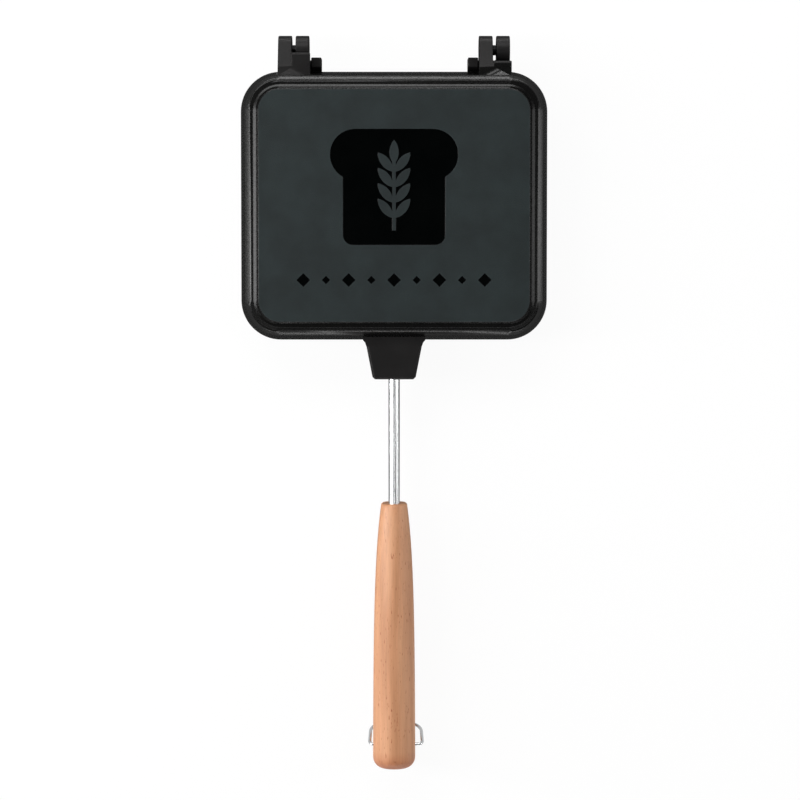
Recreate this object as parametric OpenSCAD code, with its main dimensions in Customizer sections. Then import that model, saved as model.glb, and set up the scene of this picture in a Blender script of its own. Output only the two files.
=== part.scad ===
// Pie iron for toasting a filled sandwich over a flame: two hinged cast plates on long grips.
// It lies shut on its lower plate. The origin is the centre of the lower plate's outer face,
// +Z is up, the hinge is towards +Y and the grips run towards -Y.

/* [Plates] */
// Width of a plate, along the hinge line
plate_w = 150; // [140:1:170]
// Depth of a plate, from the hinge side to the neck side
plate_d = 131; // [120:1:150]
// Thickness of one plate, from its outer face to the parting plane
half_t = 18.5; // [18:0.5:22]
// Outer corner radius of the plates
corner_r = 19.4; // [18:0.1:24]
// Height of the outer wall above the parting plane
wall_h = 12.6; // [12:0.1:13]
// Draft of the outer wall, in degrees
wall_draft = 9.5; // [8:0.5:11]
// Radius of the shoulder on top of the outer wall
shoulder_r = 1.6; // [1.2:0.1:2]
// Slope of the band above the shoulder, in degrees from the flat
band_slope = 51; // [48:1:54]
// Distance from the plate's edge to the crest at the top of the band
crest_in = 5.2; // [4.8:0.1:5.4]
// Distance from the plate's edge to the flat outer panel
panel_in = 9.2; // [8.8:0.1:9.6]
// Depth of the fine groove round the outer panel
groove_depth = 1.2; // [0.8:0.1:1.6]
// Width of the flat rim that crimps the bread
rim_w = 9.5; // [8:0.5:11]
// Metal thickness over the filling space
floor_t = 3.6; // [3:0.2:5]
// Draft of the filling space's walls, in degrees
cavity_draft = 12; // [8:1:15]
// Fillet between the filling space's walls and its floor
cavity_fillet = 3.5; // [2:0.5:4.5]
// Gap left between the two flat rims when the plates are shut
rim_gap = 0.3; // [0.2:0.1:0.6]

/* [Relief on the upper plate] */
// Depth of the glossy recesses in the outer panel
relief_depth = 0.7; // [0.4:0.1:1]
// Width of the bread slice's crown
slice_w = 62; // [50:1:70]
// Height of the bread slice
slice_h = 56; // [50:1:60]
// Number of small diamonds in the row below the slice
diamond_count = 9; // [5:2:11]
// Distance between two diamonds
diamond_pitch = 11; // [10:0.5:11.5]
// Length of the wheat ear's grains
grain_l = 12; // [9:0.5:13]

/* [Hinge] */
// Distance from the plates' hinge side to the pin axis
hinge_reach = 10.5; // [10:0.5:13]
// Radius of the knuckles
knuckle_r = 7; // [6:0.25:7.5]
// Diameter of the hinge pins
pin_d = 5; // [4:0.25:6]
// Running clearance of a pin in the upper knuckle, on the radius
pin_clear = 0.05; // [0.03:0.01:0.1]
// Distance from a plate's side to the outer end of each hinge
hinge_in = 18.5; // [17:0.5:25]
// Width of an upper knuckle
upper_knuckle_w = 6.7; // [5.5:0.1:8]
// Width of a lower knuckle
lower_knuckle_w = 6.6; // [5.5:0.1:8]
// Open gap between an upper and a lower knuckle, bridged by the pin
knuckle_gap = 1.8; // [1:0.1:3]
// Clearance between a knuckle and the arm of the other half that curves round it
swing_clear = 0.4; // [0.3:0.1:0.6]
// Height of the upper arms above the parting plane
arm_h = 12.4; // [11:0.1:12.5]
// Slope from the top of an upper arm down to its knuckle, in degrees
arm_slope = 28; // [26:1:32]
// How far the left upper arm stops short of the pin axis in front of the lower knuckle
left_arm_short = 1.7; // [1.5:0.1:4]
// How far the right upper arm stops short of the pin axis in front of the lower knuckle
right_arm_short = 5.7; // [4:0.1:6.5]
// Width of the guide stub beside each hinge
stub_w = 5; // [4:0.1:6]
// Height of the guide stubs above the parting plane
stub_h = 5.5; // [3:0.5:6]
// How far the guide stubs stop short of the pin axis
stub_short = 3.8; // [3.5:0.1:5]
// Side clearance between a guide stub and the upper half
stub_clear = 0.4; // [0.3:0.1:0.8]

/* [Necks] */
// Width of a neck where it meets the plate
neck_root_w = 27; // [24:0.2:29]
// Width of a neck at its end
neck_end_w = 21.2; // [18:0.2:23]
// Length of a neck
neck_l = 19.2; // [16:0.2:24]
// Height of a neck above the parting plane
neck_h = 10; // [9.5:0.25:10.5]
// Width of the flared root of a neck
flare_w = 30.4; // [29.6:0.2:34]
// Width of the flat ramp cut in the shoulder above a neck
ramp_w = 29.6; // [28:0.2:32]
// Chamfer round the neck's upper face
neck_chamfer = 1; // [0.6:0.1:1.4]

/* [Rods] */
// Diameter of the rods
rod_d = 5.5; // [4.5:0.25:6]
// Length of rod that shows between neck and grip
rod_free = 61.4; // [40:1:90]
// Depth of the rod in the neck
rod_in_neck = 15; // [12:0.5:17]
// Depth of the rod in the grip
rod_in_grip = 48; // [40:1:60]
// Height of the rod's axis above the parting plane
rod_z = 5; // [4.5:0.25:5.25]
// Clearance of a rod or a pin in its drilled seat, on the radius
seat_clear = 0.03; // [0.02:0.01:0.05]

/* [Grips] */
// Length of a grip
grip_l = 131.2; // [115:1:150]
// Width of a grip where the rod enters
grip_top_w = 12.6; // [12:0.2:15]
// Width towards the free end of a grip
grip_end_w = 21; // [19:0.2:22]
// Length over which the grip swells, as a decay length
grip_flare = 30; // [24:1:40]
// Height of a grip's straight sides above the parting plane
grip_side_h = 3.4; // [3:0.1:4]
// Radius of the grip's rounded free end
grip_end_r = 5.5; // [4:0.5:6]

/* [Fasteners] */
// Diameter of the drive pin that locks a rod in its neck
neck_pin_d = 3; // [2:0.25:3.5]
// Distance from the neck's end to its drive pin
neck_pin_in = 8; // [6:0.5:10]
// Diameter of the screw that locks a rod in its grip
screw_d = 2.5; // [2:0.1:3]
// Head diameter of the grip screw
screw_head_d = 5.2; // [4.5:0.1:6]
// Distance from the grip's rod end to its screw
screw_in = 38; // [30:1:42]

/* [Wire bail] */
// Diameter of the bail's wire
wire_d = 1.6; // [1.2:0.1:2]
// Distance from the grips' free end to the bail's pivot
pivot_in = 11.8; // [11:0.1:12]
// Height of the bail's pivot above the parting plane
pivot_z = 4; // [3.8:0.1:4.5]
// Distance from the bail's pivot to its crossbar
bail_reach = 20.6; // [20.5:0.1:21]
// Half the width of the bail across its legs
bail_half_w = 13; // [13:0.1:13.6]
// Length of the slanting link between a leg and the grip
bail_link = 1.5; // [1.2:0.1:1.6]
// Depth of the bail's ends in the grip
bail_in = 5; // [3:0.5:7]
// Side shift of the bail in its holes
bail_shift = 0.9; // [0:0.1:0.9]
// Lean of the shut bail towards the hinge, in degrees
bail_lean = 22; // [18:1:24]
// Clearance of the wire in its holes, on the radius
wire_clear = 0.06; // [0.05:0.01:0.1]

/* [Hidden] */
$fn = 64;

// Colours of the finishes
black_coat = [0.16, 0.17, 0.17];
dark_steel = [0.12, 0.12, 0.12];
bright_steel = [0.80, 0.81, 0.82];
beech = [0.78, 0.58, 0.44];

// Overlap that makes cuts clean, and overlap that joins two solids
eps = 0.5;
bond = 0.01;
rim_z = rim_gap / 2;
edge_chamfer = 0.5;

// Places along Y
hinge_side = plate_d / 2;
neck_side = -plate_d / 2;
pin_y = hinge_side + hinge_reach;
neck_end = neck_side - neck_l;
grip_top = neck_end - rod_free;
grip_end = grip_top - grip_l;
pivot_y = grip_end + pivot_in;

// Section of the band: the arc of the shoulder, then the slope up to the crest
wall_in = wall_h * tan(wall_draft);
shoulder_turn = 90 - band_slope - wall_draft;
arc_in = wall_in + shoulder_r * cos(wall_draft);
arc_z = wall_h - shoulder_r * sin(wall_draft);
arc_end_in = arc_in - shoulder_r * sin(band_slope);
arc_end_z = arc_z + shoulder_r * cos(band_slope);
crest_z = min(arc_end_z + (crest_in - arc_end_in) * tan(band_slope), half_t - 0.5);
bead_in = (crest_in + panel_in) / 2;
groove_z = half_t - groove_depth;

// Hinge places along X, from the outer face of the outer knuckle
hinge_out = plate_w / 2 - hinge_in;
hinge_len = upper_knuckle_w + knuckle_gap + lower_knuckle_w;
left_hinge_x = -hinge_out;
right_hinge_x = hinge_out - hinge_len;
arm_over = 0.6;
root_y = -hinge_reach - 3;
neck_root_y = neck_side + 3.5;
stub_top_r = hinge_reach - swing_clear;
lower_arm_h = knuckle_r;
bridge_short = 4.5;
pin_end_in = 0.6;

// Drilled depths
screw_hole_top = rod_z + rod_d / 2 + 1.4;
neck_pin_top = rod_z + rod_d / 2 + 0.6;
head_h = 1.5;
drill_gap = 0.4;

// Places the upper half, and its mirror image, the lower half, on the parting plane
module upper_half() {
    translate([0, 0, half_t]) children();
}
module lower_half() {
    translate([0, 0, half_t]) mirror([0, 0, 1]) children();
}

// ---- Plates ----

// Solid with a rounded rectangular plan. Its 2D child is the edge section, from x = 0 at the
// corner's centre to the outer edge at x = r, turned round the corners and run along the sides
module swept_block(w, d, r, z_low, z_high) {
    side_w = w - 2 * r;
    side_d = d - 2 * r;
    corner_sign = [[1, 1], [-1, 1], [-1, -1], [1, -1]];
    for (i = [0 : 3]) {
        translate([corner_sign[i].x * side_w / 2, corner_sign[i].y * side_d / 2, 0])
            rotate([0, 0, 90 * i])
                rotate_extrude(angle = 90) children();
        rotate([0, 0, 90 * i])
            translate([(i % 2 == 0 ? side_w : side_d) / 2, 0, 0])
                rotate([90, 0, 0])
                    linear_extrude(i % 2 == 0 ? side_d : side_w, center = true) children();
    }
    translate([-side_w / 2, -side_d / 2, z_low])
        cube([side_w, side_d, z_high - z_low]);
}

// Edge section of a plate: wall, shoulder, band, crest, bead, groove and panel edge
module plate_section() {
    steps = 4;
    shoulder = [for (i = [0 : steps]) let (a = wall_draft + shoulder_turn * i / steps)
        [corner_r - arc_in + shoulder_r * cos(a), arc_z + shoulder_r * sin(a)]];
    polygon(concat(
        [[0, rim_z], [corner_r - edge_chamfer, rim_z], [corner_r, rim_z + edge_chamfer]],
        shoulder,
        [[corner_r - crest_in, crest_z],
         [corner_r - crest_in - 0.7, crest_z],
         [corner_r - bead_in + 0.6, crest_z - 0.4],
         [corner_r - bead_in, crest_z + 0.2],
         [corner_r - bead_in - 0.6, crest_z + 0.1],
         [corner_r - panel_in + 0.9, groove_z],
         [corner_r - panel_in + 0.4, groove_z],
         [corner_r - panel_in + 0.15, half_t - 0.2],
         [corner_r - panel_in - 0.1, half_t],
         [0, half_t]]));
}

// Edge section of the filling space, from its mouth at the rim to its floor
module cavity_section() {
    mouth = corner_r - rim_w;
    depth = half_t - floor_t;
    turn = 90 - cavity_draft;
    centre_z = depth - cavity_fillet;
    centre_x = mouth - (centre_z + cavity_fillet * sin(cavity_draft)) * tan(cavity_draft)
        - cavity_fillet * cos(cavity_draft);
    steps = 5;
    fillet = [for (i = [0 : steps]) let (a = cavity_draft + turn * i / steps)
        [centre_x + cavity_fillet * cos(a), centre_z + cavity_fillet * sin(a)]];
    polygon(concat(
        [[0, 0], [mouth, 0]],
        fillet,
        [[0, depth]]));
}

// Lens shape of one grain, pointing along +Y from the origin
module grain(l, w) {
    r = (l * l + w * w) / (4 * w);
    translate([0, l / 2]) intersection() {
        translate([r - w / 2, 0]) circle(r);
        translate([w / 2 - r, 0]) circle(r);
    }
}

// Ear of wheat: a stem with pairs of grains and one grain at the tip
module wheat_ear() {
    stem_w = 1.8;
    grain_w = grain_l * 0.38;
    pairs = 4;
    pair_step = grain_l * 0.62;
    ear_h = pair_step * (pairs - 1);
    stem_l = ear_h + grain_l;
    translate([-stem_w / 2, -stem_l / 2]) square([stem_w, stem_l]);
    for (i = [0 : pairs - 1]) {
        for (side = [-1, 1]) {
            translate([side * stem_w / 4, i * pair_step - ear_h / 2])
                rotate([0, 0, -side * 38]) grain(grain_l, grain_w);
        }
    }
    translate([0, ear_h / 2 + grain_l * 0.3]) grain(grain_l, grain_w);
}

// Slice of tin bread: a straight-sided body under a wider round-shouldered crown
module bread_slice() {
    body_w = slice_w * 0.8;
    foot_r = 5;
    crown_r = slice_h * 0.22;
    crown_y = slice_h / 2 - crown_r;
    translate([-body_w / 2, foot_r - slice_h / 2]) square([body_w, crown_y + slice_h / 2 - foot_r]);
    translate([foot_r - body_w / 2, -slice_h / 2]) square([body_w - 2 * foot_r, foot_r + eps]);
    for (side = [-1, 1]) {
        translate([side * (body_w / 2 - foot_r), foot_r - slice_h / 2]) circle(foot_r);
        translate([side * (slice_w / 2 - crown_r), crown_y]) circle(crown_r);
    }
    translate([crown_r - slice_w / 2, crown_y - crown_r])
        square([slice_w - 2 * crown_r, 2 * crown_r]);
}

// All recesses of the upper plate's panel
module relief() {
    slice_y = 9;
    row_y = -36;
    diamond = 4.6;
    translate([0, slice_y]) difference() {
        bread_slice();
        translate([0, -slice_h * 0.07]) wheat_ear();
    }
    for (i = [0 : diamond_count - 1]) {
        translate([(i - (diamond_count - 1) / 2) * diamond_pitch, row_y])
            rotate([0, 0, 45]) square(i % 2 == 0 ? diamond : diamond * 0.6, center = true);
    }
}

// Ramp that cuts the shoulder away above the neck
module ramp_cut() {
    low_z = neck_h;
    ramp_back = crest_in - 0.4;
    translate([-ramp_w / 2, 0, 0]) rotate([90, 0, 90]) linear_extrude(ramp_w)
        polygon([[neck_side - eps, low_z], [neck_side + 1.6, low_z],
                 [neck_side + ramp_back, half_t - 1.6], [neck_side + ramp_back, half_t + eps],
                 [neck_side - eps, half_t + eps]]);
}

// Outer edge of a neck, from the right side of its waist round its end to the left side
neck_cut = 1.2;
neck_edge = [[neck_root_w / 2, neck_side - 3.2], [neck_end_w / 2, neck_end + neck_cut],
             [neck_end_w / 2 - neck_cut, neck_end], [neck_cut - neck_end_w / 2, neck_end],
             [-neck_end_w / 2, neck_end + neck_cut], [-neck_root_w / 2, neck_side - 3.2]];

// Neck outline: a flared root, a taper and small cut corners
module neck_outline() {
    root = flare_w / 2;
    curve_in = neck_root_w / 2 + 0.7;
    polygon(concat([[-curve_in, neck_side - 1.1], [-root, neck_side], [-root, neck_root_y],
                    [root, neck_root_y], [root, neck_side], [curve_in, neck_side - 1.1]],
                   neck_edge));
}

// Neck with a chamfer along its outer edge
module neck() {
    difference() {
        translate([0, 0, rim_z]) linear_extrude(neck_h - rim_z) neck_outline();
        for (i = [0 : len(neck_edge) - 2]) {
            side = neck_edge[i + 1] - neck_edge[i];
            translate([neck_edge[i].x, neck_edge[i].y, neck_h])
                rotate([0, 0, atan2(side.y, side.x)]) rotate([-45, 0, 0])
                    translate([-bond, -neck_h / 2, -neck_chamfer / sqrt(2)])
                        cube([norm(side) + 2 * bond, neck_h, neck_h]);
        }
    }
}

// What a neck is drilled for: the rod's seat and the drive pin's hole
module neck_drill() {
    translate([0, neck_end - eps, rod_z]) rotate([-90, 0, 0])
        cylinder(h = rod_in_neck + drill_gap + eps, d = rod_d + 2 * seat_clear);
    translate([0, neck_end + neck_pin_in, -eps])
        cylinder(h = neck_pin_top + drill_gap + eps, d = neck_pin_d + 2 * seat_clear);
}

// One plate with its neck, without hinge parts, above its parting plane
module plate_blank() {
    difference() {
        union() {
            difference() {
                swept_block(plate_w, plate_d, corner_r, rim_z, half_t) plate_section();
                ramp_cut();
            }
            neck();
        }
        swept_block(plate_w - 2 * rim_w, plate_d - 2 * rim_w, corner_r - rim_w,
                    0, half_t - floor_t) cavity_section();
        neck_drill();
    }
}

// ---- Hinge parts, all in a half's own frame ----

// Puts an XZ-flat 2D section, drawn in (Y from the pin axis, height), between x and x + w
module hinge_slab(x, w) {
    translate([x, pin_y, 0]) rotate([90, 0, 90]) linear_extrude(w) children();
}

// Arm and knuckle of the upper half: the arm's top slopes down to meet the knuckle
module upper_knuckle_section() {
    touch = [knuckle_r * sin(arm_slope), knuckle_r * cos(arm_slope)];
    bend = touch.x - (arm_h - touch.y) / tan(arm_slope);
    circle(knuckle_r);
    polygon([[root_y, rim_z], [root_y, arm_h], [bend, arm_h], touch, [0, 0], [0, rim_z]]);
}

// Arm of the upper half that lies in front of the lower knuckle
module front_arm_section(short) {
    edge = 0.8;
    difference() {
        polygon([[root_y, rim_z], [root_y, arm_h], [-short - edge, arm_h], [-short, arm_h - edge],
                 [-short, rim_z]]);
        circle(knuckle_r + swing_clear);
    }
}

// Arm and knuckle of the lower half
module lower_knuckle_section() {
    circle(knuckle_r);
    polygon([[root_y, rim_z], [root_y, lower_arm_h], [0, lower_arm_h], [0, rim_z]]);
}

// Part of the lower half that passes behind the upper knuckle
module bridge_section() {
    difference() {
        polygon([[root_y, rim_z], [root_y, lower_arm_h], [-bridge_short, lower_arm_h],
                 [-bridge_short, rim_z]]);
        circle(knuckle_r + swing_clear);
    }
}

// Guide stub: it stands above the parting plane, so its height is negative in the lower half
module stub_section() {
    polygon([[root_y, rim_z], [root_y, lower_arm_h], [-stub_short, lower_arm_h], [-stub_short, rim_z]]);
    intersection() {
        circle(stub_top_r);
        translate([-stub_top_r, -stub_h]) square([stub_top_r - stub_short, stub_h + 1]);
    }
}

// Everything of one hinge on the upper half
module upper_hinge(x, short) {
    difference() {
        union() {
            hinge_slab(x, upper_knuckle_w) upper_knuckle_section();
            hinge_slab(x + upper_knuckle_w - bond, hinge_len - upper_knuckle_w + arm_over)
                front_arm_section(short);
        }
        translate([x - eps, pin_y, 0]) rotate([0, 90, 0])
            cylinder(h = upper_knuckle_w + 2 * eps, d = pin_d + 2 * pin_clear);
    }
}

// Everything of one hinge on the lower half: side is +1 if its stub lies towards +X
module lower_hinge(x, side) {
    knuckle_x = x + upper_knuckle_w + knuckle_gap;
    stub_x = side > 0 ? x + hinge_len + arm_over + stub_clear : x - stub_clear - stub_w;
    bridge_x = side > 0 ? knuckle_x + lower_knuckle_w : stub_x + stub_w;
    bridge_w = side > 0 ? stub_x - bridge_x : knuckle_x - bridge_x;
    difference() {
        union() {
            hinge_slab(knuckle_x, lower_knuckle_w) lower_knuckle_section();
            hinge_slab(stub_x, stub_w) stub_section();
            hinge_slab(bridge_x - bond, bridge_w + 2 * bond) bridge_section();
        }
        translate([knuckle_x - eps, pin_y, 0]) rotate([0, 90, 0])
            cylinder(h = lower_knuckle_w + 2 * eps, d = pin_d + 2 * seat_clear);
    }
}

// Pin of one hinge: fixed in the lower knuckle, running in the upper one
module hinge_pin(x) {
    cut = 0.4;
    len = hinge_len - 2 * pin_end_in;
    color(dark_steel) translate([x + pin_end_in, pin_y, half_t]) rotate([0, 90, 0]) {
        cylinder(h = cut, d1 = pin_d - 2 * cut, d2 = pin_d);
        translate([0, 0, cut]) cylinder(h = len - 2 * cut, d = pin_d);
        translate([0, 0, len - cut]) cylinder(h = cut, d1 = pin_d, d2 = pin_d - 2 * cut);
    }
}

// ---- Rod, grip and fasteners of one half, above the parting plane ----

// Straight rod with a cross hole for the drive pin and one for the grip screw
module rod() {
    front = neck_end + rod_in_neck;
    len = rod_in_neck + rod_free + rod_in_grip;
    cut = 0.5;
    difference() {
        translate([0, front, rod_z]) rotate([90, 0, 0]) {
            cylinder(h = cut, d1 = rod_d - 2 * cut, d2 = rod_d);
            translate([0, 0, cut]) cylinder(h = len - 2 * cut, d = rod_d);
            translate([0, 0, len - cut]) cylinder(h = cut, d1 = rod_d, d2 = rod_d - 2 * cut);
        }
        translate([0, neck_end + neck_pin_in, rod_z - rod_d])
            cylinder(h = 2 * rod_d, d = neck_pin_d + 2 * seat_clear);
        translate([0, grip_top - screw_in, rod_z - rod_d])
            cylinder(h = 2 * rod_d, d = screw_d + 2 * seat_clear);
    }
}

// Drive pin through the neck and the rod, flush with the neck's parting face
module neck_pin() {
    cut = 0.3;
    len = neck_pin_top - rim_z;
    translate([0, neck_end + neck_pin_in, rim_z]) {
        cylinder(h = len - cut, d = neck_pin_d);
        translate([0, 0, len - cut]) cylinder(h = cut, d1 = neck_pin_d, d2 = neck_pin_d - 2 * cut);
    }
}

// Half the grip's width at a distance s from its rod end
function grip_half_w(s) = (grip_end_w - (grip_end_w - grip_top_w) * exp(-s / grip_flare)) / 2;

// Points of the grip's side from the rod end to the free end, as [half width, distance]
body_l = grip_l - grip_end_r;
grip_steps = 14;
end_steps = 6;
top_round = 0.8;
grip_side = concat(
    [[grip_half_w(0) - top_round, 0]],
    [for (i = [0 : grip_steps]) let (s = top_round + (body_l - top_round) * pow(i / grip_steps, 1.6))
        [grip_half_w(s), s]],
    [for (i = [1 : end_steps]) let (a = 90 * i / end_steps)
        [grip_half_w(body_l) - grip_end_r * (1 - cos(a)), body_l + grip_end_r * sin(a)]]);

// Half grip: a half-round back on straight sides, flat on the parting plane
module grip() {
    difference() {
        union() {
            translate([0, grip_top, grip_side_h]) rotate([90, 0, 0])
                rotate_extrude(angle = 180)
                    polygon(concat([[0, 0]], grip_side, [[0, grip_l]]));
            translate([0, grip_top, rim_z]) linear_extrude(grip_side_h - rim_z)
                polygon(concat([for (p = grip_side) [p.x, -p.y]],
                               [for (i = [len(grip_side) - 1 : -1 : 0])
                                   [-grip_side[i].x, -grip_side[i].y]]));
        }
        translate([0, grip_top + eps, rod_z]) rotate([90, 0, 0])
            cylinder(h = rod_in_grip + drill_gap + eps, d = rod_d + 2 * seat_clear);
        translate([0, grip_top - screw_in, 0]) {
            cylinder(h = screw_hole_top + drill_gap, d = screw_d + 2 * seat_clear);
            translate([0, 0, -eps]) cylinder(h = rim_z + head_h + 0.1 + eps, d = screw_head_d + 0.2);
        }
    }
}

// Both blind cross holes for the bail's ends
module bail_holes() {
    hole_in = bail_in + bail_shift + 0.5;
    for (side = [-1, 1]) {
        translate([side * (grip_half_w(grip_l - pivot_in) - hole_in), pivot_y, pivot_z])
            rotate([0, side * 90, 0]) cylinder(h = hole_in + 2, d = wire_d + 2 * wire_clear);
    }
}

// Countersunk screw through the wood and the rod's tail, with a cross recess
module grip_screw() {
    slot_w = 0.8;
    slot_l = 3;
    slot_depth = 0.8;
    translate([0, grip_top - screw_in, rim_z]) difference() {
        union() {
            cylinder(h = head_h * 0.3, d = screw_head_d);
            translate([0, 0, head_h * 0.3])
                cylinder(h = head_h * 0.7, d1 = screw_head_d, d2 = screw_d);
            cylinder(h = screw_hole_top - rim_z - 1, d = screw_d);
            translate([0, 0, screw_hole_top - rim_z - 1]) cylinder(h = 1, d1 = screw_d, d2 = 0.6);
        }
        for (turn = [0, 90]) {
            rotate([0, 0, turn]) translate([-slot_l / 2, -slot_w / 2, -eps])
                cube([slot_l, slot_w, slot_depth + eps]);
        }
    }
}

// ---- Wire bail ----

// The bail lies in its own plane, with +Y from its crossbar to its pivot. One half runs from the
// middle of the crossbar: corner, leg, elbow, link, elbow and the end in the wood
leg_heading = 88;
link_heading = 112;
corner_bend = 9;
elbow_bend = 1;
elbow_rise = elbow_bend * (cos(leg_heading) - cos(link_heading));
hole_rise = elbow_bend * (1 + cos(link_heading));
corner_rise = corner_bend * (1 - cos(leg_heading));
link_rise = bail_link * sin(link_heading);
leg_l = (bail_reach - corner_rise - elbow_rise - link_rise - hole_rise) / sin(leg_heading);
crossbar_half = bail_half_w - corner_bend * sin(leg_heading) - leg_l * cos(leg_heading)
    - elbow_bend * (1 - sin(leg_heading));
end_start = bail_half_w - elbow_bend + bail_link * cos(link_heading);
end_l = end_start - grip_half_w(grip_l - pivot_in) + bail_in;

// Rings along one bend, as [x, y, heading]: from heading a to heading b, starting at point p
function bend_rings(p, r, a, b, n) = [for (i = [0 : n]) let (h = a + (b - a) * i / n)
    [p.x + r * (sin(h) - sin(a)), p.y + r * (cos(a) - cos(h)), h]];
function ahead(p, l) = [p.x + l * cos(p.z), p.y + l * sin(p.z)];

corner_rings = bend_rings([crossbar_half, 0], corner_bend, 0, leg_heading, 9);
elbow_rings = bend_rings(ahead(corner_rings[9], leg_l), elbow_bend, leg_heading, link_heading, 2);
end_rings = bend_rings(ahead(elbow_rings[2], bail_link), elbow_bend, link_heading, 180, 5);
wire_tip = ahead(end_rings[5], end_l);
right_rings = concat(corner_rings, elbow_rings, end_rings, [[wire_tip.x, wire_tip.y, 180]]);
left_rings = [for (i = [len(right_rings) - 1 : -1 : 0]) let (p = right_rings[i]) [-p.x, p.y, -p.z]];
bail_rings = concat(left_rings, right_rings);

// Round wire swept along the rings, flat on the plane that holds them
module swept_wire(rings, d, sides = 12) {
    last = len(rings) - 1;
    points = [for (p = rings) for (j = [0 : sides - 1]) let (a = 360 * j / sides)
        [p.x - sin(p.z) * cos(a) * d / 2, p.y + cos(p.z) * cos(a) * d / 2, sin(a) * d / 2]];
    walls = [for (i = [0 : last - 1]) for (j = [0 : sides - 1])
        let (k = (j + 1) % sides, a = i * sides, b = (i + 1) * sides)
            each [[a + j, b + j, b + k], [a + j, b + k, a + k]]];
    ends = [[for (j = [0 : sides - 1]) j],
            [for (j = [sides - 1 : -1 : 0]) last * sides + j]];
    polyhedron(points, concat(walls, ends));
}

// ---- Sub-parts ----

module lower_plate() {
    color(black_coat) lower_half() {
        plate_blank();
        lower_hinge(left_hinge_x, 1);
        lower_hinge(right_hinge_x, -1);
    }
}

module upper_plate() {
    color(black_coat) upper_half() {
        difference() {
            plate_blank();
            translate([0, 0, half_t - relief_depth]) linear_extrude(relief_depth + eps) relief();
        }
        upper_hinge(left_hinge_x, left_arm_short);
        upper_hinge(right_hinge_x, right_arm_short);
    }
}

module hinge_pin_left() {
    hinge_pin(left_hinge_x);
}
module hinge_pin_right() {
    hinge_pin(right_hinge_x);
}

module lower_rod() {
    color(bright_steel) lower_half() rod();
}
module upper_rod() {
    color(bright_steel) upper_half() rod();
}

module lower_neck_pin() {
    color(dark_steel) lower_half() neck_pin();
}
module upper_neck_pin() {
    color(dark_steel) upper_half() neck_pin();
}

module lower_grip() {
    color(beech) lower_half() grip();
}
module upper_grip() {
    color(beech) upper_half() difference() {
        grip();
        bail_holes();
    }
}

module lower_grip_screw() {
    color(bright_steel) lower_half() grip_screw();
}
module upper_grip_screw() {
    color(bright_steel) upper_half() grip_screw();
}

module wire_bail() {
    color(bright_steel) translate([bail_shift, pivot_y, half_t + pivot_z])
        rotate([bail_lean - 90, 0, 0]) translate([0, bail_reach, 0]) mirror([0, 1, 0])
            swept_wire(bail_rings, wire_d);
}

lower_plate();
upper_plate();
hinge_pin_left();
hinge_pin_right();
lower_rod();
upper_rod();
lower_neck_pin();
upper_neck_pin();
lower_grip();
upper_grip();
lower_grip_screw();
upper_grip_screw();
wire_bail();
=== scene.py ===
# %% [markdown]
# # A pie iron, dressed for its portrait
# The solids of this sandwich iron come from a CAD model: two cast plates with a hinge, two steel
# rods, two wooden grips and a wire bail. This notebook gives each of them the edges and the
# finish of the real object, then lights it like a plain product photograph.
# It starts by loading the CAD model as a fixed frame. Everything is in metres, +Z is up, and
# the grips run towards -Y.

# %% Load the frame
from math import radians

import bmesh
import bpy
from mathutils import Matrix, Vector


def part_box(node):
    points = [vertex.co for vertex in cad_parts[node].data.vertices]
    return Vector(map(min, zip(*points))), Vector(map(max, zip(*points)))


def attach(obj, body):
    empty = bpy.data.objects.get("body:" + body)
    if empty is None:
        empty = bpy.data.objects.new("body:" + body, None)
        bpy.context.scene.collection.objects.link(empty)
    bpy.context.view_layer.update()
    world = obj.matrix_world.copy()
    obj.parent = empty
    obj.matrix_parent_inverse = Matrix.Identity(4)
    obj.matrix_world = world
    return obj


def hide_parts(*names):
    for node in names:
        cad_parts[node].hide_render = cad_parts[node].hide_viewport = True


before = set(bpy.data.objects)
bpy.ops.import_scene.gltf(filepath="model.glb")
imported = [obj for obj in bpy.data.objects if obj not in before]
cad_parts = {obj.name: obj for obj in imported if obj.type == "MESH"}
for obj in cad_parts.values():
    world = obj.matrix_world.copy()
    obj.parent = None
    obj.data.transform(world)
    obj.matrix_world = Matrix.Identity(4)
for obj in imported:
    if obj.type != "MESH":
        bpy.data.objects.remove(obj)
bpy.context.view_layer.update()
MM = 0.001


# %% [markdown]
# ## The camera
# The photograph looks down on the shut iron from about 1.4 m. The lens stands over the plates,
# whose rims show nearly the same width all round, and is aimed a little towards the grips, at the
# middle of the whole iron. The camera comes first, because every later choice is judged through
# it.

# %% Camera
look_at = Vector((2.9, -95.3, 18.5)) * MM
camera_offset = Vector((-3, 80, 1396)) * MM
picture_width = 394 * MM
sensor_width = 36.0

camera_data = bpy.data.cameras.new("portrait_camera")
camera_data.sensor_width = sensor_width
camera_data.lens = sensor_width * camera_offset.length / picture_width
camera_data.clip_start = 0.05
camera_data.clip_end = 20
camera = bpy.data.objects.new("portrait_camera", camera_data)
bpy.context.scene.collection.objects.link(camera)
backward = camera_offset.normalized()
rightward = Vector((0, 1, 0)).cross(backward).normalized()
upward = backward.cross(rightward)
turn = Matrix((rightward, upward, backward)).transposed()
camera.matrix_world = Matrix.Translation(look_at + camera_offset) @ turn.to_4x4()
bpy.context.scene.camera = camera
print("lens in mm:", round(camera_data.lens, 1))

# %% [markdown]
# ## Colours and nodes
# Colours are picked from swatches as sRGB hex values, but Blender mixes light in linear numbers,
# so one function converts them. A second small function adds a shader node together with its
# settings and its links, which keeps each recipe short enough to read as a list.

# %% Colour and node helpers
def hex_colour(text):
    """A linear RGBA colour from an sRGB hex value such as '#c08c6a'."""
    channels = [int(text[i:i + 2], 16) / 255 for i in (1, 3, 5)]
    return [c / 12.92 if c <= 0.04045 else ((c + 0.055) / 1.055) ** 2.4 for c in channels] + [1]


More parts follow.
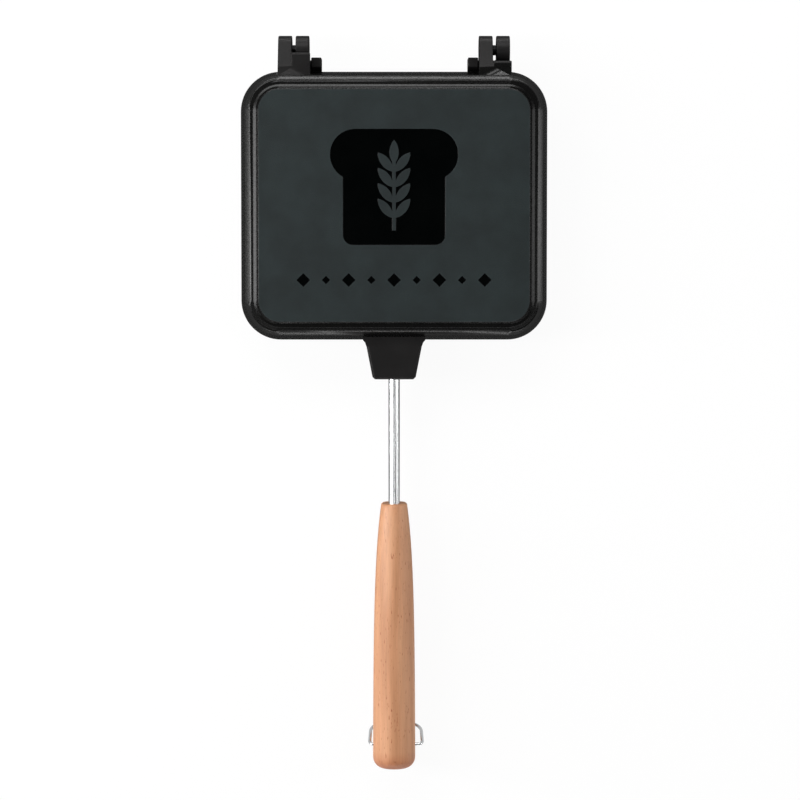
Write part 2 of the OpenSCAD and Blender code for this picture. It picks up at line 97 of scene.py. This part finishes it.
def add_node(tree, kind, links=None, **settings):
    """Adds a node. Settings whose names are sockets go to the sockets, the others to the node."""
    node = tree.nodes.new(kind)
    for name, value in settings.items():
        if hasattr(node, name):
            setattr(node, name, value)
        else:
            node.inputs[name.replace("_", " ")].default_value = value
    for socket, source in (links or {}).items():
        tree.links.new(source, node.inputs[socket])
    return node


def new_material(name):
    """An empty material with a Principled shader on its output."""
    material = bpy.data.materials.new(name)
    material.use_nodes = True
    tree = material.node_tree
    tree.nodes.clear()
    shader = add_node(tree, "ShaderNodeBsdfPrincipled")
    add_node(tree, "ShaderNodeOutputMaterial", {"Surface": shader.outputs["BSDF"]})
    return material, tree, shader


def in_mm(tree):
    """Object coordinates in millimetres, so that a scale is one over a real size."""
    place = add_node(tree, "ShaderNodeTexCoord")
    return add_node(tree, "ShaderNodeMapping", {"Vector": place.outputs["Object"]},
                    Scale=(1000, 1000, 1000)).outputs["Vector"]


def stretched(tree, vector, sizes):
    """A pattern space in which one unit is the given size along X, Y and Z, in millimetres."""
    return add_node(tree, "ShaderNodeMapping", {"Vector": vector},
                    Scale=[1 / size for size in sizes]).outputs["Vector"]


def noise(tree, vector, size, detail=2.0, roughness=0.5):
    """A noise whose spots are about size millimetres wide."""
    return add_node(tree, "ShaderNodeTexNoise", {"Vector": vector}, Scale=1 / size,
                    Detail=detail, Roughness=roughness).outputs["Fac"]


def ramp(tree, value, stops):
    """A colour ramp through the given (position, colour) stops."""
    node = add_node(tree, "ShaderNodeValToRGB", {"Fac": value})
    node.color_ramp.elements[0].position, node.color_ramp.elements[0].color = stops[0]
    node.color_ramp.elements[1].position, node.color_ramp.elements[1].color = stops[-1]
    for position, colour in stops[1:-1]:
        node.color_ramp.elements.new(position).color = colour
    return node.outputs["Color"]


def bump(tree, height, depth_mm, strength=1.0):
    """A bump whose full height is depth_mm."""
    return add_node(tree, "ShaderNodeBump", {"Height": height}, Strength=strength,
                    Distance=depth_mm * MM).outputs["Normal"]


def grey(level):
    """A neutral ramp colour."""
    return [level, level, level, 1]


print("white as linear:", hex_colour("#ffffff")[:3])

# %% [markdown]
# ## Sprayed non-stick coat on a casting
# The plates are die-cast aluminium under a sprayed black non-stick coat. On the outer panel the
# casting is finely blasted, so the coat is matte with a grit of about half a millimetre. The real
# grit is finer, but it is drawn this coarse so that it shows from 1.4 m. On the rims the metal
# under the coat is smooth, so the coat is satin, and the as-cast skin of the necks and the hinge
# leaves it a little duller. The recesses of the design are polished in the mould and look wet and
# almost black.

# %% Black coats
cloud_mm = 14
coat_ior = 1.45


def black_coat(name, dark, light, rough_low, rough_high, grit_mm, grit_depth_mm, shine):
    """A sprayed coat: slow cloudiness in the colour, grit in roughness and bump."""
    material, tree, shader = new_material(name)
    place = in_mm(tree)
    clouds = noise(tree, place, cloud_mm, detail=3)
    grit = noise(tree, place, grit_mm, detail=3, roughness=0.6)
    colour = ramp(tree, clouds, [(0.35, hex_colour(dark)), (0.65, hex_colour(light))])
    gloss = ramp(tree, grit, [(0.3, grey(rough_low)), (0.7, grey(rough_high))])
    tree.links.new(colour, shader.inputs["Base Color"])
    tree.links.new(gloss, shader.inputs["Roughness"])
    tree.links.new(bump(tree, grit, grit_depth_mm), shader.inputs["Normal"])
    shader.inputs["IOR"].default_value = coat_ior
    shader.inputs["Specular IOR Level"].default_value = shine
    return material


blasted_coat = black_coat("blasted_nonstick_coat", dark="#151d1e", light="#1a2324", rough_low=0.48,
                          rough_high=0.64, grit_mm=0.5, grit_depth_mm=0.12, shine=0.3)
satin_coat = black_coat("satin_nonstick_coat", dark="#050505", light="#080807", rough_low=0.22,
                        rough_high=0.3, grit_mm=0.9, grit_depth_mm=0.003, shine=0.32)
cast_coat = black_coat("as_cast_nonstick_coat", dark="#131212", light="#181717", rough_low=0.36,
                       rough_high=0.5, grit_mm=0.5, grit_depth_mm=0.02, shine=0.18)
gloss_coat = black_coat("gloss_nonstick_coat", dark="#010202", light="#020303", rough_low=0.12,
                        rough_high=0.18, grit_mm=1.6, grit_depth_mm=0.004, shine=0.08)
print("coats:", blasted_coat.name, satin_coat.name, cast_coat.name, gloss_coat.name)

# %% [markdown]
# ## Metals
# The rods are drawn steel with a bright nickel plate: a smooth metal with faint scratches along
# its length from drawing. The bail is spring wire with the same bright skin, the screws are zinc
# plated, and the hinge pins are blackened so that they don't show against the coat. A metal's
# colour is its base colour, and it keeps the default IOR.

# %% Metals
scratch_depth_mm = 0.004
scratch_length = 60  # how many times longer than wide a drawing scratch is


def drawn_metal(name, dark, light, rough_low, rough_high, scratch_mm, along):
    """A metal whose fine scratches run along one axis (0 is X, 1 is Y, 2 is Z)."""
    material, tree, shader = new_material(name)
    sizes = [scratch_mm, scratch_mm, scratch_mm]
    sizes[along] = scratch_mm * scratch_length
    scratches = noise(tree, stretched(tree, in_mm(tree), sizes), 1, detail=2)
    colour = ramp(tree, scratches, [(0.3, hex_colour(dark)), (0.7, hex_colour(light))])
    gloss = ramp(tree, scratches, [(0.3, grey(rough_low)), (0.7, grey(rough_high))])
    tree.links.new(colour, shader.inputs["Base Color"])
    tree.links.new(gloss, shader.inputs["Roughness"])
    tree.links.new(bump(tree, scratches, scratch_depth_mm), shader.inputs["Normal"])
    shader.inputs["Metallic"].default_value = 1
    return material


nickel_rod = drawn_metal("nickel_plated_rod", "#d6d7d8", "#e8e9ea", 0.2, 0.3, 0.35, 1)
bright_wire = drawn_metal("drawn_spring_wire", "#cfd0d1", "#e0e1e2", 0.16, 0.26, 0.2, 0)
zinc_screw = drawn_metal("zinc_plated_screw", "#bcbfc4", "#d0d3d6", 0.25, 0.4, 0.4, 0)
black_pin = drawn_metal("blackened_steel_pin", "#1a1a1b", "#242425", 0.35, 0.5, 0.3, 0)
print("metals:", nickel_rod.name, bright_wire.name, zinc_screw.name, black_pin.name)

# %% [markdown]
# ## Oiled beech
# Beech is a pinkish pale wood with a fine even grain. What gives it away are the rays: short
# dark flecks along the grain, two to four millimetres long and a few tenths wide. The slow
# bands of the year rings run along the grip and are only a little darker. The free end shows end
# grain, which drinks more oil and is darker and redder.

# %% Beech
ring_mm = (5, 90, 5)
fibre_mm = (0.5, 14, 0.5)
fleck_mm = (0.55, 3.2, 0.55)
fleck_depth_mm = 0.03
dark_end_mm = 9
end_share = 0.75
oiled_ior = 1.5


def multiplied(tree, colour, tint, share=1.0):
    """A colour darkened by a tint, as much as the share says."""
    node = add_node(tree, "ShaderNodeMix", data_type="RGBA", blend_type="MULTIPLY")
    for socket, value in (("Factor_Float", share), ("A_Color", colour), ("B_Color", tint)):
        place = next(item for item in node.inputs if item.identifier == socket)
        if isinstance(value, bpy.types.NodeSocket):
            tree.links.new(value, place)
        else:
            place.default_value = value
    return next(item for item in node.outputs if item.identifier == "Result_Color")


def beech_wood(free_end_mm):
    """Beech with its grain along Y, darker towards the free end at free_end_mm."""
    material, tree, shader = new_material("oiled_beech")
    place = in_mm(tree)
    rings = noise(tree, stretched(tree, place, ring_mm), 1, detail=3)
    fibres = noise(tree, stretched(tree, place, fibre_mm), 1, detail=2)
    flecks = noise(tree, stretched(tree, place, fleck_mm), 1, detail=1)
    wood = ramp(tree, rings, [(0.34, hex_colour("#b27c57")), (0.5, hex_colour("#c08963")),
                              (0.66, hex_colour("#ca956f"))])
    fibre_tint = ramp(tree, fibres, [(0.3, grey(0.9)), (0.7, grey(1.04))])
    fleck_tint = ramp(tree, flecks, [(0.66, grey(1)), (0.76, hex_colour("#c99d85"))])
    flecked = multiplied(tree, multiplied(tree, wood, fibre_tint), fleck_tint)
    along = add_node(tree, "ShaderNodeSeparateXYZ", {"Vector": place}).outputs["Y"]
    near_end = add_node(tree, "ShaderNodeMapRange", {"Value": along}, From_Min=free_end_mm,
                        From_Max=free_end_mm + dark_end_mm, To_Min=end_share, To_Max=0)
    ended = multiplied(tree, flecked, hex_colour("#d9a58c"), near_end.outputs["Result"])
    tree.links.new(ended, shader.inputs["Base Color"])
    gloss = ramp(tree, fibres, [(0.3, grey(0.44)), (0.7, grey(0.56))])
    tree.links.new(gloss, shader.inputs["Roughness"])
    tree.links.new(bump(tree, flecks, fleck_depth_mm, 0.6), shader.inputs["Normal"])
    shader.inputs["IOR"].default_value = oiled_ior
    return material


grip_end_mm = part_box("upper_grip")[0].y / MM
oiled_beech = beech_wood(grip_end_mm)
print("grips end at y =", round(grip_end_mm, 1), "mm")

# %% [markdown]
# ## Clean copies of the CAD solids
# A CAD node arrives as loose triangles with knife-sharp edges. Light needs an edge with a real
# radius, or the piece looks like paper. So each visible solid is copied, its doubled points are
# merged, its flat areas are joined into single faces, and then chosen edges are bevelled. The copy
# stands for the CAD node, which stays behind it for collision.

# %% Copy and bevel helpers
merge_mm = 0.002
flat_degrees = 0.4


def clean_copy(node):
    """The CAD node's mesh with merged points and joined flat areas, as a bmesh."""
    shape = bmesh.new()
    shape.from_mesh(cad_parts[node].data)
    bmesh.ops.remove_doubles(shape, verts=shape.verts[:], dist=merge_mm * MM)
    bmesh.ops.dissolve_limit(shape, angle_limit=radians(flat_degrees), verts=shape.verts[:],
                             edges=shape.edges[:])
    return shape


def round_edges(shape, width_mm, where, segments=2, sharper_than=28):
    """Bevels the edges sharper than an angle whose middle passes the test where(x, y, z)."""
    chosen = []
    for edge in shape.edges:
        middle = (edge.verts[0].co + edge.verts[1].co) / (2 * MM)
        if len(edge.link_faces) == 2 and edge.calc_face_angle() > radians(sharper_than):
            if where(middle.x, middle.y, middle.z):
                chosen.append(edge)
    if chosen:
        bmesh.ops.bevel(shape, geom=chosen, offset=width_mm * MM, offset_type="OFFSET",
                        segments=segments, profile=0.5, affect="EDGES", clamp_overlap=False,
                        material=-1)
    return len(chosen)


def finished_piece(shape, name, node, body, materials, smooth_below=35):
    """Makes the bmesh an object that rides on a body and stands for its CAD node."""
    mesh = bpy.data.meshes.new(name)
    shape.to_mesh(mesh)
    shape.free()
    for material in materials:
        mesh.materials.append(material)
    mesh.shade_smooth()
    mesh.set_sharp_from_angle(angle=radians(smooth_below))
    piece = bpy.data.objects.new(name, mesh)
    bpy.context.scene.collection.objects.link(piece)
    normals = piece.modifiers.new("even_normals", "WEIGHTED_NORMAL")
    normals.keep_sharp = True
    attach(piece, body)
    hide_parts(node)
    print(name, len(mesh.polygons), "faces")
    return piece


# %% [markdown]
# ## The two castings
# Each plate has a drafted wall, a rounded shoulder and a steep band up to a crest, with a low bead
# and a fine groove round its flat outer panel. These come from the CAD section. What it lacks is
# the small radius that sand and coat leave on the hinge knuckles, the neck and the recessed
# design, so those edges are rounded: 0.45 mm on the hinge, 0.3 mm on the neck and 0.16 mm on the
# design. Faces then get their coat by where they are.

# %% Plates
panel_z = 37.0
recess_z = 36.3
touch = 0.05  # how far from a plane a point still counts as on it
hinge_from_y = 66.2
neck_from_y = -67
neck_half_w = 16
design_half_w = 60
design_y = (-42, 42)
hinge_round, neck_round, design_round = 0.45, 0.3, 0.16


def in_design(x, y, z):
    """Whether a point of the upper plate is on the recessed design, in millimetres."""
    near_panel = recess_z - touch < z < panel_z + touch
    return near_panel and abs(x) < design_half_w and design_y[0] < y < design_y[1]


def on_hinge(x, y, z):
    """Whether a point is on the hinge parts behind the plates."""
    return y > hinge_from_y


def on_neck(x, y, z):
    """Whether a point is on a neck's outer edges."""
    return y < neck_from_y and abs(x) < neck_half_w


coats = [satin_coat, blasted_coat, gloss_coat, cast_coat]
SATIN, BLASTED, GLOSS, CAST = range(4)


def coat_faces(shape, outer_z, outward):
    """Gives the panel the blasted coat, the design the gloss and the rest satin or as cast."""
    shape.normal_update()
    for face in shape.faces:
        x, y, z = face.calc_center_median() / MM
        faces_out = face.normal.z * outward > 0.9
        if faces_out and abs(z - outer_z) < touch:
            face.material_index = BLASTED
        elif outward > 0 and in_design(x, y, z):
            face.material_index = GLOSS
        elif on_hinge(x, y, z) or on_neck(x, y, z):
            face.material_index = CAST


for half, outer_z, outward in (("upper", panel_z, 1), ("lower", 0, -1)):
    plate = clean_copy(half + "_plate")
    hinge_edges = round_edges(plate, hinge_round, on_hinge)
    neck_edges = round_edges(plate, neck_round, on_neck)
    design_edges = round_edges(plate, design_round, in_design) if outward > 0 else 0
    coat_faces(plate, outer_z, outward)
    print(half, "edges rounded:", hinge_edges, neck_edges, design_edges)
    finished_piece(plate, "coated_" + half + "_casting", half + "_plate", half + "_half",
                   coats)

# %% [markdown]
# ## The grips
# Each grip is half of a turned handle. Its half-round back is smooth already, and only the
# edges at its flat face and at the rod end are broken with sandpaper, by 0.35 mm.

# %% Grips
bores_half_w = 4.2
end_zone_mm = 6
grip_round = 0.35


def on_grip_rim(x, y, z):
    """Whether a point is on a grip's outer edges, away from its bores."""
    return abs(x) > bores_half_w or y < grip_end_mm + end_zone_mm


for half in ("upper", "lower"):
    wood = clean_copy(half + "_grip")
    rim_edges = round_edges(wood, grip_round, on_grip_rim, sharper_than=50)
    print(half, "grip edges rounded:", rim_edges)
    finished_piece(wood, "beech_" + half + "_grip", half + "_grip", half + "_half",
                   [oiled_beech], smooth_below=40)

# %% [markdown]
# ## Rods, wire and small metal
# The rods, pins and screws are plain round parts, so their CAD solids stay and only take their
# material. The bail's wire has twelve flat sides, so it is copied and shaded smooth, which makes
# it look round.

# %% Metal pieces
finishes = {"lower_rod": nickel_rod, "upper_rod": nickel_rod, "hinge_pin_left": black_pin,
            "hinge_pin_right": black_pin, "lower_neck_pin": black_pin,
            "upper_neck_pin": black_pin, "lower_grip_screw": zinc_screw,
            "upper_grip_screw": zinc_screw}
for node, material in finishes.items():
    cad_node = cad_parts[node]
    cad_node.data.materials.clear()
    cad_node.data.materials.append(material)

wire = clean_copy("wire_bail")
finished_piece(wire, "bright_wire_bail", "wire_bail", "bail", [bright_wire],
               smooth_below=60)

# %% [markdown]
# ## The white sheet
# The iron lies on a white paper sheet. The camera sees the sheet as white, with a small lit share
# that keeps the iron's shadow. In reflections the sheet is a glow with a painted shadow: it is
# painted dark close to the iron and glows brighter farther out, so the walls of the plates stay
# dark and their shoulders shine.

# %% White sheet
sheet_half_w = 4
sheet_drop_mm = 0.1
camera_share = 0.94  # the rest of what the camera sees is lit, and holds the shadow
# The reflected sheet is painted dark as a shadow up to the first distance from the middle, and
# glows at full strength from the second.
painted_shade_mm, painted_glow_mm = 110, 330

floor_mesh = bpy.data.meshes.new("white_sheet")
sheet = bmesh.new()
bmesh.ops.create_grid(sheet, x_segments=1, y_segments=1, size=sheet_half_w)
sheet.to_mesh(floor_mesh)
sheet.free()
floor = bpy.data.objects.new("white_sheet", floor_mesh)
floor.location.z = -sheet_drop_mm * MM
bpy.context.scene.collection.objects.link(floor)

paper = bpy.data.materials.new("white_paper")
paper.use_nodes = True
paper_tree = paper.node_tree
paper_tree.nodes.clear()
lit = add_node(paper_tree, "ShaderNodeBsdfDiffuse", Color=hex_colour("#f4f4f4"))
glow = add_node(paper_tree, "ShaderNodeEmission", Color=hex_colour("#ffffff"), Strength=1)
seen = add_node(paper_tree, "ShaderNodeLightPath")
# Glossy rays see the sheet as a glow with a painted shadow: weak near the iron, full farther out.
away = add_node(paper_tree, "ShaderNodeVectorMath", {0: in_mm(paper_tree)}, operation="LENGTH")
painted_glow_share = add_node(paper_tree, "ShaderNodeMapRange", {"Value": away.outputs["Value"]},
                     From_Min=painted_shade_mm, From_Max=painted_glow_mm, To_Min=0.06, To_Max=1)
painted_reflection = add_node(paper_tree, "ShaderNodeEmission", {"Strength": painted_glow_share.outputs["Result"]},
                    Color=hex_colour("#ffffff"))
sheet_with_painted_reflection = add_node(paper_tree, "ShaderNodeMixShader",
                       {0: seen.outputs["Is Glossy Ray"], 1: lit.outputs[0],
                        2: painted_reflection.outputs[0]})
share = add_node(paper_tree, "ShaderNodeMath", {0: seen.outputs["Is Camera Ray"]},
                 operation="MULTIPLY")
share.inputs[1].default_value = camera_share
mixed = add_node(paper_tree, "ShaderNodeMixShader",
                 {0: share.outputs[0], 1: sheet_with_painted_reflection.outputs[0], 2: glow.outputs[0]})
add_node(paper_tree, "ShaderNodeOutputMaterial", {"Surface": mixed.outputs[0]})
floor_mesh.materials.append(paper)
print("sheet:", 2 * sheet_half_w, "m wide")

# %% [markdown]
# ## The lamps
# Two soft boxes light the iron from the left and from behind the hinge, and a weaker one from the
# right. Low cards on all four sides give the shoulders of the plates their thin highlights, and a
# small box above the grips brightens the rod.

# %% Lamps
low_aim = (0, 0, 0.03)


def soft_box(name, place, target, size, power):
    """A rectangular lamp at place that shines on target, both in metres."""
    lamp = bpy.data.lights.new(name, "AREA")
    lamp.shape = "RECTANGLE"
    lamp.size, lamp.size_y = size
    lamp.energy = power
    holder = bpy.data.objects.new(name, lamp)
    holder.location = place
    holder.rotation_euler = (Vector(target) - Vector(place)).to_track_quat("-Z", "Y").to_euler()
    bpy.context.scene.collection.objects.link(holder)


for name, place, target, size, power in (
        ("hinge_side_box", (-0.3, 0.95, 1.0), (0, 0, 0), (1.4, 0.4), 12),
        ("left_box", (-1.1, 0, 0.8), (0, -0.05, 0), (0.35, 1.4), 15),
        ("right_box", (1.15, 0, 0.9), (0, -0.05, 0), (0.25, 1.4), 4),
        ("grip_top_box", (0, -0.26, 1.35), (0, -0.26, 0), (0.5, 0.12), 0.6),
        ("hinge_side_card", (0, 1.2, 0.06), low_aim, (1.4, 0.11), 7),
        ("left_card", (-1.2, 0, 0.06), low_aim, (0.11, 1.4), 8),
        ("right_card", (1.2, 0, 0.06), low_aim, (0.11, 1.4), 2.8),
        ("grip_side_card", (0, -1.2, 0.06), low_aim, (1.4, 0.11), 4)):
    soft_box(name, place, target, size, power)
    print(name, power, "W")

# %% [markdown]
# ## The room
# The world stands for a pale room. It fills the shadows a little. In reflections its walls are
# brighter near the floor than overhead, so the flat recesses of the design stay nearly black.

# %% World
fill_strength = 0.2
horizon_strength, overhead_strength = 0.9, 0.07
world = bpy.data.worlds.new("pale_studio")
world.use_nodes = True
world_tree = world.node_tree
world_tree.nodes.clear()
fill = add_node(world_tree, "ShaderNodeBackground", Color=hex_colour("#ffffff"),
                Strength=fill_strength)
ray_to = add_node(world_tree, "ShaderNodeTexCoord")
rise = add_node(world_tree, "ShaderNodeSeparateXYZ", {"Vector": ray_to.outputs["Generated"]})
wall_light = add_node(world_tree, "ShaderNodeMapRange", {"Value": rise.outputs["Z"]},
                      From_Min=0, From_Max=0.75, To_Min=horizon_strength, To_Max=overhead_strength)
walls = add_node(world_tree, "ShaderNodeBackground", {"Strength": wall_light.outputs["Result"]},
                 Color=hex_colour("#ffffff"))
ray = add_node(world_tree, "ShaderNodeLightPath")
room = add_node(world_tree, "ShaderNodeMixShader",
                {0: ray.outputs["Is Glossy Ray"], 1: fill.outputs[0], 2: walls.outputs[0]})
add_node(world_tree, "ShaderNodeOutputWorld", {"Surface": room.outputs[0]})
bpy.context.scene.world = world
print("world:", world.name)
bpy.context.scene.view_settings.view_transform = "Standard"
